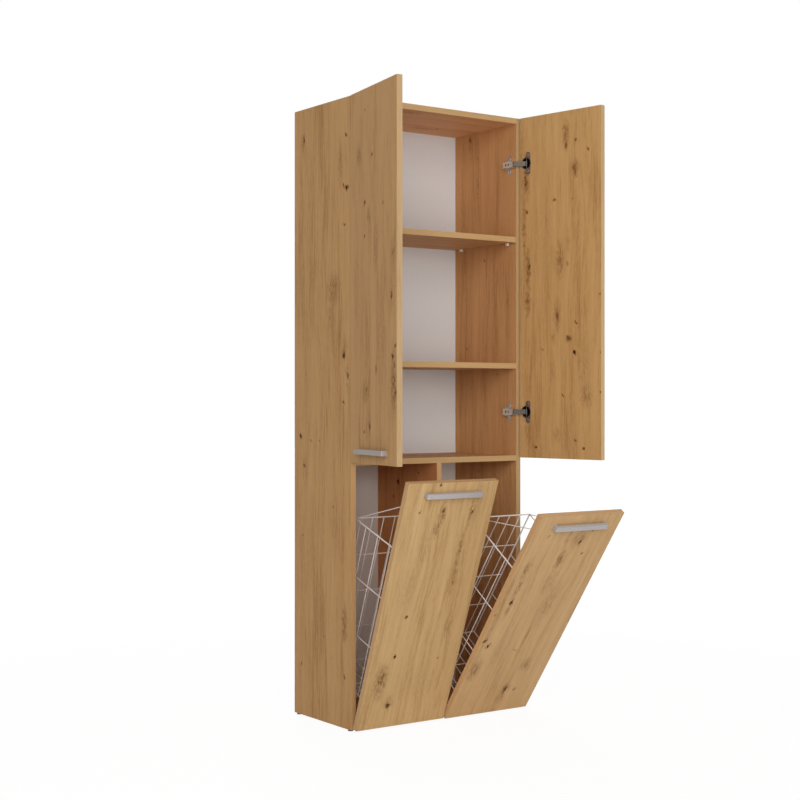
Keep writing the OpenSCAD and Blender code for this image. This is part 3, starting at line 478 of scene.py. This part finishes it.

# %% [markdown]
# ## One cutting for each board
#
# Decor papers differ a little from batch to batch, and the printed edging comes
# from other rolls than the paper. So each board gets its own seed, which picks
# its place on the endless sheet, three factors on red, green and blue for its
# two faces, and the colour of its edging. Some of these factors are painted
# light: darker, redder ones on the partition and on the inner face of the right
# side are painted shade inside the bays, a brighter one on the underside of the
# top is painted light on it, and lighter, cooler ones on the tilt fronts are
# painted extra light on them. Uprights have their grain along Z, the lying
# boards along X, and the doors and fronts along Z while shut.

# %% Oak on every board
UPRIGHT = "YZX"
PANEL = "XZY"
LYING = "YXZ"
# The doors' tints are near one. The lighter, cooler tints of the tilt fronts are painted light from above
FRONT_TINTS_AND_LIGHT = {
    "door_left": (0.98, 0.98, 0.93),
    "door_right": (1.01, 1.02, 0.90),
    "tilt_left": (0.97, 1.09, 1.12),
    "tilt_right": (1.03, 1.14, 1.22),
}
SIDE_BATCH = (0.97, 0.97, 0.92)
# Painted shade: the inner face of the right side and both faces of the partition are darker and redder, as the bays are
# shaded
INNER_FACE_SHADE = (0.95, 0.85, 0.78)
PARTITION_SHADE = (0.97, 0.70, 0.58)
SHELF_BATCH = (0.95, 0.92, 0.93)
# Painted light: the underside of the top board is brighter
TOP_UNDERSIDE_LIGHT = (1.26, 1.21, 1.34)
EDGINGS = {
    "side_left": linear("#c09767"),
    # The right side's edging is darker, partly painted shade that the open door casts on its front edge
    "side_right": linear("#aa946b"),
    "partition": linear("#d9ad74"),
    "lying": linear("#bda273"),
    "door_left": linear("#ae9c79"),
    "door_right": linear("#dbc395"),
    "tilt_left": linear("#d4af81"),
    "tilt_right": linear("#d9b184"),
}
side_flaws = (SIDE_KNOTS, SIDE_CLOUDS)
inner_flaws = (INNER_KNOTS, INNER_CLOUDS)
dress("side_left", oak_finish("left side", UPRIGHT, 1.7, SIDE_BATCH, EDGINGS["side_left"], front_flaws=side_flaws))
right_side = oak_finish(
    "right side", UPRIGHT, 12.9, INNER_FACE_SHADE, EDGINGS["side_right"], front_flaws=inner_flaws, back_tint=SIDE_BATCH
)
dress("side_right", right_side)
partition_flaws = (PARTITION_KNOTS, PARTITION_CLOUDS)
middle_wall = oak_finish(
    "partition", UPRIGHT, 23.4, PARTITION_SHADE, EDGINGS["partition"], front_flaws=partition_flaws
)
dress("partition", middle_wall)
for seed, board in enumerate(("top_board", "bottom_board", "middle_board", "fixed_shelf", "loose_shelf")):
    # The top board's underside gets the brighter tint, painted light, and its upper face the shelf tint
    tint_and_shade = TOP_UNDERSIDE_LIGHT if board == "top_board" else SHELF_BATCH
    finish = oak_finish(
        board.replace("_", " "), LYING, 31.0 + 5.3 * seed, tint_and_shade, EDGINGS["lying"], back_tint=SHELF_BATCH
    )
    dress(board, finish)
for seed, (panel, swing) in enumerate(SWINGS.items()):
    board = panel + "_board"
    fronts = (FRONT_KNOTS[board], FRONT_CLOUDS[board]) if board in FRONT_KNOTS else None
    backs = (DOOR_INSIDE_KNOTS, DOOR_INSIDE_CLOUDS) if board == "door_right_board" else None
    finish = oak_finish(
        panel.replace("_", " "), PANEL, 61.0 + 6.1 * seed, FRONT_TINTS_AND_LIGHT[panel], EDGINGS[panel], swing, fronts, backs
    )
    dress(board, finish)
print("boards in oak decor:", sum("oak" in n.data.materials[0].name for n in nodes.values()))

# %% [markdown]
# ## The hardboard back
#
# The back is two sheets of thin hardboard, roller-coated with white paint on the
# side that shows. Paint on hardboard is matt, very slightly grainy and nearly
# white. The rear side stays raw: brown wood fibre, felted in the wet and pressed
# on a screen. Which side a point is on is read from the direction its surface
# faces. A fine noise in the colour and a shallow bump keep the paint from
# looking like paper, and a coarser one gives the raw side its felted mottle.

# %% White painted hardboard, raw at the rear
# One paint gets two tones, painted light: the upper sheet a greyer white, painted shade, and the lower a warmer white,
# painted warm bounce light from the wood
for name, low_hex, high_hex in (("back_upper", "#d9dada", "#e2e3e4"), ("back_lower", "#ebe6e1", "#f2eee9")):
    paint, tree, shader = new_finish("roller-coated hardboard " + name[5:], Roughness=0.62, IOR=1.48)
    place = add(tree, "TexCoord")
    grain = add(tree, "TexNoise", {"Vector": place.outputs["Object"], "Scale": 260.0, "Detail": 3.0})
    white = add(tree, "Mix", {0: grain.outputs["Fac"], 6: linear(low_hex), 7: linear(high_hex)}, data_type="RGBA")
    felt = add(tree, "TexNoise", {"Vector": place.outputs["Object"], "Scale": 90.0, "Detail": 6.0, "Roughness": 0.75})
    raw = add(tree, "Mix", {0: felt.outputs["Fac"], 6: linear("#6f5136"), 7: linear("#a5835c")}, data_type="RGBA")
    faces = add(tree, "SeparateXYZ", {0: place.outputs["Normal"]})
    is_rear = add(tree, "Math", {0: faces.outputs["Y"], 1: 0.5}, operation="GREATER_THAN")
    shade = add(tree, "Mix", {0: is_rear.outputs[0], 6: white.outputs[2], 7: raw.outputs[2]}, data_type="RGBA")
    tree.links.new(shade.outputs[2], shader.inputs["Base Color"])
    bump = add(tree, "Bump", {"Height": grain.outputs["Fac"], "Strength": 0.08, "Distance": 0.0003})
    tree.links.new(bump.outputs[0], shader.inputs["Normal"])
    dress(name, paint)
print("back painted")

# %% [markdown]
# ## Metals
#
# Hinges are pressed from steel strip and nickel plated: a warm grey mirror that
# is blurred by the drawing marks of the press. The hinge arms get a lighter
# copy of this nickel, a painted highlight, and the link between a hinge's arm
# and its cup and the cup pins a much darker one, painted shade. The bowl of a
# cup, sunk in the board, is painted dark below a bright rim, painted shade in
# the recess. The screw in an arm is painted near black and matt, no longer a
# mirror: painted shade of its recess. The screws of the handles are
# yellow-passivated, and the other screws, the nails and the cam fittings are
# zinc plated, which is bluer and duller. The bar handles are die-cast and
# sprayed with silver lacquer: metal flakes in a clear binder. That is partly a
# mirror and partly a matt paint, so it stays an even grey from every side. The
# doors' handles get a darker copy of it: painted shade. All but the cups share
# one function. Their colour, their roughness, the scale of their marks and
# their share of metal differ.


# %% Plated and lacquered metals
def metal_finish(name, hex_colour, roughness, brush_scale, depth, metallic=1.0):
    """A metal with fine marks. brush_scale is in marks per metre along X, Y and Z."""
    finish, tree, shader = new_finish(name, Metallic=metallic)
    place = add(tree, "TexCoord")
    stretched = add(tree, "VectorMath", {0: place.outputs["Object"], 1: brush_scale}, operation="MULTIPLY")
    marks = add(tree, "TexNoise", {"Vector": stretched.outputs[0], "Scale": 1.0, "Detail": 3.0})
    dull = add(
        tree, "MapRange",
        {"Value": marks.outputs["Fac"], "To Min": roughness - 0.08, "To Max": roughness + 0.1},
    )
    colour = linear(hex_colour)
    worn = tuple(c * 0.82 for c in colour[:3]) + (1,)
    tone = add(tree, "Mix", {0: marks.outputs["Fac"], 6: worn, 7: colour}, data_type="RGBA")
    tree.links.new(tone.outputs[2], shader.inputs["Base Color"])
    tree.links.new(dull.outputs[0], shader.inputs["Roughness"])
    bump = add(tree, "Bump", {"Height": marks.outputs["Fac"], "Strength": depth, "Distance": 0.0001})
    tree.links.new(bump.outputs[0], shader.inputs["Normal"])
    return finish


nickel = metal_finish("nickel-plated pressed steel", "#ddd3cb", 0.34, (900, 900, 2600), 0.15)
# The link and cup pins are a darker copy of the nickel, painted shade; the arm a lighter copy, painted highlight
shaded_link_nickel = metal_finish("nickel-plated hinge link, painted shade", "#5a544e", 0.42, (1200, 1200, 1200), 0.15)
highlit_arm_nickel = metal_finish("nickel-plated hinge arm, painted highlight", "#f6eddf", 0.3, (900, 900, 2600), 0.15)
# The arm screw is near black and matt: painted shade of its recess
shaded_arm_screw = metal_finish("arm screw, painted recess shade", "#0d0c0c", 0.6, (1500, 1500, 1500), 0.12, metallic=0.0)
shaded_arm_screw.node_tree.nodes["Principled BSDF"].inputs["Specular IOR Level"].default_value = 0.1
zinc = metal_finish("zinc-plated steel", "#b9bcc0", 0.38, (1500, 1500, 1500), 0.12)

# A cup's bowl is told from its flange by its depth under the inner face of the
# board, which needs the point's place on the shut front. The bowl is then
# painted dark, painted shade in the recess.
STANDOFF = 2.0
BOARD_INNER_FACE = CARCASS_FRONT - STANDOFF
BRIGHT_RIM = 2.5
for panel, swing in SWINGS.items():
    finish, tree, shader = new_finish("nickel-plated cup " + panel.replace("_", " "), Metallic=1.0)
    place = add(tree, "TexCoord")
    unswing = swing.inverted()
    shut = add(
        tree, "Mapping",
        {"Vector": place.outputs["Object"], "Location": unswing.to_translation(), "Rotation": unswing.to_euler()},
        vector_type="POINT",
    )
    depth = add(tree, "SeparateXYZ", {0: shut.outputs[0]}).outputs[1]
    sunk = add(tree, "Math", {0: depth, 1: (BOARD_INNER_FACE - BRIGHT_RIM) * MM}, operation="LESS_THAN").outputs[0]
    marks = add(tree, "TexNoise", {"Vector": place.outputs["Object"], "Scale": 1100.0, "Detail": 3.0}).outputs["Fac"]
    bright = add(tree, "Mix", {0: marks, 6: linear("#9b8f88"), 7: linear("#bdb1a9")}, data_type="RGBA").outputs[2]
    # Below the rim the bowl is painted dark: painted shade in the recess
    painted_bowl_shade = add(tree, "Mix", {0: sunk, 6: bright, 7: linear("#3a302a")}, data_type="RGBA").outputs[2]
    dull = add(tree, "MapRange", {"Value": marks, "To Min": 0.34, "To Max": 0.5}).outputs[0]
    tree.links.new(painted_bowl_shade, shader.inputs["Base Color"])
    tree.links.new(dull, shader.inputs["Roughness"])
    dress(panel + "_cups", finish)
passivated = metal_finish("yellow-passivated steel", "#b08a55", 0.45, (1500, 1500, 1500), 0.12)
lacquer = metal_finish("silver-lacquered die-cast handle", "#c0bbb9", 0.5, (900, 900, 900), 0.06, metallic=0.3)
# The door handles' darker lacquer is painted shade
shaded_door_lacquer = metal_finish("silver-lacquered door handle", "#aa9f97", 0.5, (900, 900, 900), 0.06, metallic=0.3)
for name in nodes:
    if name.endswith("_plates"):
        dress(name, nickel)
    elif name.endswith("_arms"):
        dress(name, highlit_arm_nickel)
    elif name.endswith(("_cup_pins", "_links")):
        dress(name, shaded_link_nickel)
    elif name.endswith("_arm_screws"):
        dress(name, shaded_arm_screw)
    elif name.endswith("_handle_screws"):
        dress(name, passivated)
    elif name.endswith("_screws") or name in ("back_nails", "cam_bolts", "cam_discs"):
        dress(name, zinc)
    elif name.endswith("_handle"):
        dress(name, shaded_door_lacquer if name.startswith("door") else lacquer)
print("metals done")

# %% [markdown]
# ## Plastics, wood pegs and coated wire
#
# The shelf pegs and the clips are moulded from white nylon, the glides from
# black polyethylene: both are soft plastics with a faint sheen and a slightly
# uneven, moulded skin. The dowels are grooved beech. The baskets' wire is
# electrostatically powder coated: thick white paint that melts into a glossy
# skin with a slight orange-peel ripple.


# %% Moulded and coated finishes
def soft_finish(name, low_hex, high_hex, roughness, scale, depth, **surface):
    """A plastic, paint or plain wood: two close tones and a fine ripple."""
    finish, tree, shader = new_finish(name, Roughness=roughness, IOR=1.5, **surface)
    place = add(tree, "TexCoord")
    ripple = add(tree, "TexNoise", {"Vector": place.outputs["Object"], "Scale": scale, "Detail": 2.0})
    tone = add(tree, "Mix", {0: ripple.outputs["Fac"], 6: linear(low_hex), 7: linear(high_hex)}, data_type="RGBA")
    tree.links.new(tone.outputs[2], shader.inputs["Base Color"])
    bump = add(tree, "Bump", {"Height": ripple.outputs["Fac"], "Strength": depth, "Distance": 0.0002})
    tree.links.new(bump.outputs[0], shader.inputs["Normal"])
    return finish


nylon = soft_finish("moulded white nylon", "#e9e8e4", "#f4f3f0", 0.4, 500, 0.1)
polyethylene = soft_finish("moulded black polyethylene", "#131313", "#1e1e1e", 0.5, 400, 0.15)
beech = soft_finish("grooved beech", "#c9a577", "#dcbd92", 0.6, 300, 0.3)
coated_wire = soft_finish("white powder-coated wire", "#f3e9e2", "#fff6ef", 0.36, 900, 0.12, Coat_Weight=0.3)
for name in nodes:
    if name == "shelf_pegs" or name.endswith("_clips"):
        dress(name, nylon)
dress("glides", polyethylene)
dress("dowels", beech)
print("plastics done")

# %% [markdown]
# ## The wire baskets
#
# A laundry basket of this kind is bent and spot-welded from round wire. The
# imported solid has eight-sided bars; here each wire is a spline with a round
# bevel, which is how such a piece is best made: the spline is the wire's axis
# and the bevel its thickness. Two rings and four corner posts make the frame.
# Five wires each run down the rear wall, across the floor and up the front wall
# in one piece. Rails and the side walls' uprights close the mesh, and two stays
# run from the rear rim up to the front. Only the stays are drawn a little thinner
# than in the solid, which comes nearer to how fine they look. A basket is built
# with its front shut, in the frame of the drawing, and is then swung out with it.

# %% The wires of one basket
HALF_W = 105
FRONT_WALL, REAR_WALL = -298.25, -51
FLOOR_Z, RIM_Z = 64, 518
STAY_RISE, STAY_TAIL = 153, 16
POST_R, RING_R, STAY_R, RAIL_R, MESH_R = 2.25, 2.05, 1.35, 1.5, 1.4
BASKET_MID = 146
MESH_PITCH = 2 * HALF_W / 5.5
SIDE_PITCH = (REAR_WALL - FRONT_WALL) / 4
INSIDE = 2.8


def rounded(points, bend, closed=False):
    """The points of a wire, with each corner replaced by an arc of radius bend."""
    axis = []
    count = len(points)
    for i, corner in enumerate(points):
        if not closed and i in (0, count - 1):
            axis.append(Vector(corner))
            continue
        corner = Vector(corner)
        back = (Vector(points[i - 1]) - corner).normalized()
        on = (Vector(points[(i + 1) % count]) - corner).normalized()
        half = back.angle(on) / 2
        centre = corner + (back + on).normalized() * (bend / math.sin(half))
        start = corner + back * (bend / math.tan(half)) - centre
        end = corner + on * (bend / math.tan(half)) - centre
        axis += [centre + start.slerp(end, step / 5).normalized() * bend for step in range(6)]
    return axis


def wire(curve, points, radius, bend=0, closed=False):
    """Adds one round wire to a curve, through points given in mm."""
    axis = rounded(points, bend, closed) if bend else [Vector(point) for point in points]
    spline = curve.splines.new("POLY")
    spline.points.add(len(axis) - 1)
    for point, place in zip(spline.points, axis):
        point.co = (*(place * MM), 1)
        point.radius = radius
    spline.use_cyclic_u = closed
    spline.use_smooth = True


def wire_basket(hand):
    """One laundry basket, welded from round wires."""
    curve = bpy.data.curves.new(hand + " wire basket", "CURVE")
    curve.dimensions = "3D"
    curve.bevel_depth = MM
    curve.bevel_resolution = 3
    curve.use_fill_caps = True
    mid = SIDE_SIGN[hand] * BASKET_MID
    left, right = mid - HALF_W, mid + HALF_W
    for z in (FLOOR_Z, RIM_Z):
        ring = [(left, FRONT_WALL, z), (right, FRONT_WALL, z), (right, REAR_WALL, z), (left, REAR_WALL, z)]
        wire(curve, ring, RING_R, bend=5, closed=True)
    for x in (left, right):
        for y in (FRONT_WALL, REAR_WALL):
            wire(curve, [(x, y, FLOOR_Z - POST_R), (x, y, RIM_Z + POST_R)], POST_R)

    for step in range(1, 6):
        x = right - step * MESH_PITCH
        front, rear = FRONT_WALL + INSIDE, REAR_WALL - INSIDE
        low, high = FLOOR_Z + INSIDE, RIM_Z + MESH_R
        wire(curve, [(x, front, high), (x, front, low), (x, rear, low), (x, rear, high)], MESH_R, bend=6)
    for step in range(1, 4):
        z = FLOOR_Z + step * (RIM_Z - FLOOR_Z) / 4
        y = REAR_WALL - (step - 0.125) * SIDE_PITCH
        for wall in (FRONT_WALL, REAR_WALL):
            wire(curve, [(left, wall, z), (right, wall, z)], RAIL_R)
        for x in (left + INSIDE, right - INSIDE):
            wire(curve, [(x, y, FLOOR_Z - MESH_R), (x, y, RIM_Z + MESH_R)], MESH_R)
    middle = (FRONT_WALL + REAR_WALL) / 2
    wire(curve, [(left, middle, FLOOR_Z), (right, middle, FLOOR_Z)], RAIL_R)
    for x in (left, right):
        for step in (1, 2):
            z = FLOOR_Z + step * (RIM_Z - FLOOR_Z) / 3
            wire(curve, [(x, FRONT_WALL, z), (x, REAR_WALL, z)], RAIL_R)

    for sign in (-1, 1):
        x = mid + sign * (HALF_W - POST_R - STAY_R)
        top = RIM_Z + STAY_RISE
        path = [(x, REAR_WALL, RIM_Z), (x, FRONT_WALL, top), (x, FRONT_WALL, top + STAY_TAIL)]
        wire(curve, path, STAY_R, bend=8)
    curve.transform(SWINGS["tilt_" + hand])
    basket = bpy.data.objects.new(hand + "_wire_basket", curve)
    bpy.context.collection.objects.link(basket)
    curve.materials.append(coated_wire)
    return basket


for hand in SIDE_SIGN:
    basket = wire_basket(hand)
    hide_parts("tilt_" + hand + "_basket")
    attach(basket, "tilt_" + hand)
    print(hand, "basket:", len(basket.data.splines), "wires")

# %% [markdown]
# ## The room
#
# The photograph is a cut-out on white. Here the object stands on a pale floor
# under an even sky. Three soft lamps light it: a key lamp on the left of the
# camera, a low one in front for the bays, and one behind for the far sides. A
# white background must not come from more light on the object, so the camera and
# shiny surfaces see a white sky and a nearly white floor, while all other rays
# see softer ones. Near the object the floor keeps a part of its own shading, and
# with it the object's shadow. Further out it fades into the white.

# %% Sky, floor and lamps
WHITE = (1, 1, 1, 1)
SKY_LIGHT = 0.27
FLOOR_HALF = 20
SHADED_WITHIN, WHITE_BEYOND = 1.4, 3.2
NEAR_GLOW_SHARE = 0.88
GLOW = 1.06
world = bpy.data.worlds.new("pale studio")
world.use_nodes = True
bpy.context.scene.world = world
sky = world.node_tree
path = add(sky, "LightPath").outputs
seen = add(sky, "Math", {0: path["Is Camera Ray"], 1: path["Is Glossy Ray"]}, operation="MAXIMUM")
seen = add(sky, "Math", {0: seen.outputs[0], 1: path["Is Transmission Ray"]}, operation="MAXIMUM")
level = add(sky, "MapRange", {"Value": seen.outputs[0], "To Min": SKY_LIGHT, "To Max": 1.0})
sky.nodes["Background"].inputs["Color"].default_value = WHITE
sky.links.new(level.outputs[0], sky.nodes["Background"].inputs["Strength"])

floor_finish, tree, shader = new_finish("pale floor", Base_Color=linear("#e4e4e4"), Roughness=0.8)
path = add(tree, "LightPath").outputs
seen = add(tree, "Math", {0: path["Is Camera Ray"], 1: path["Is Glossy Ray"]}, operation="MAXIMUM")
spot = add(tree, "TexCoord").outputs["Object"]
away = add(tree, "VectorMath", {0: spot}, operation="LENGTH").outputs["Value"]
share = add(
    tree, "MapRange",
    {"Value": away, "From Min": SHADED_WITHIN, "From Max": WHITE_BEYOND, "To Min": NEAR_GLOW_SHARE, "To Max": 1.0},
)
seen = add(tree, "Math", {0: seen.outputs[0], 1: share.outputs[0]}, operation="MULTIPLY")
glow = add(tree, "Emission", {"Color": WHITE, "Strength": GLOW})
mixed = add(tree, "MixShader", {0: seen.outputs[0], 1: shader.outputs[0], 2: glow.outputs[0]})
tree.links.new(mixed.outputs[0], tree.nodes["Material Output"].inputs["Surface"])
floor = bpy.data.objects.new("floor", bpy.data.meshes.new("floor"))
corners = [(x * FLOOR_HALF, y * FLOOR_HALF, 0) for x, y in ((-1, -1), (1, -1), (1, 1), (-1, 1))]
floor.data.from_pydata(corners, [], [(0, 1, 2, 3)])
floor.data.materials.append(floor_finish)
bpy.context.collection.objects.link(floor)


def soft_lamp(name, place, target, size, power):
    """A square area lamp that looks at a point."""
    lamp = bpy.data.objects.new(name, bpy.data.lights.new(name, "AREA"))
    lamp.data.size = size
    lamp.data.energy = power
    lamp.location = place
    lamp.rotation_euler = (Vector(target) - Vector(place)).to_track_quat("-Z", "Y").to_euler()
    lamp.visible_camera = False
    bpy.context.collection.objects.link(lamp)


LAMP_SIZE = 2.4
OBJECT_MIDDLE, BACK_MIDDLE = (0, -0.2, 0.9), (0, -0.1, 0.9)
soft_lamp("key lamp", (-2.9, -3.9, 2.2), OBJECT_MIDDLE, LAMP_SIZE, 98)
soft_lamp("low lamp", (-0.6, -4.8, 0.9), OBJECT_MIDDLE, LAMP_SIZE, 55)
soft_lamp("rear lamp", (1.6, 3.6, 2.6), BACK_MIDDLE, LAMP_SIZE, 60)
print("room ready")

# %% The view transform
scene = bpy.context.scene
scene.view_settings.view_transform = "Standard"
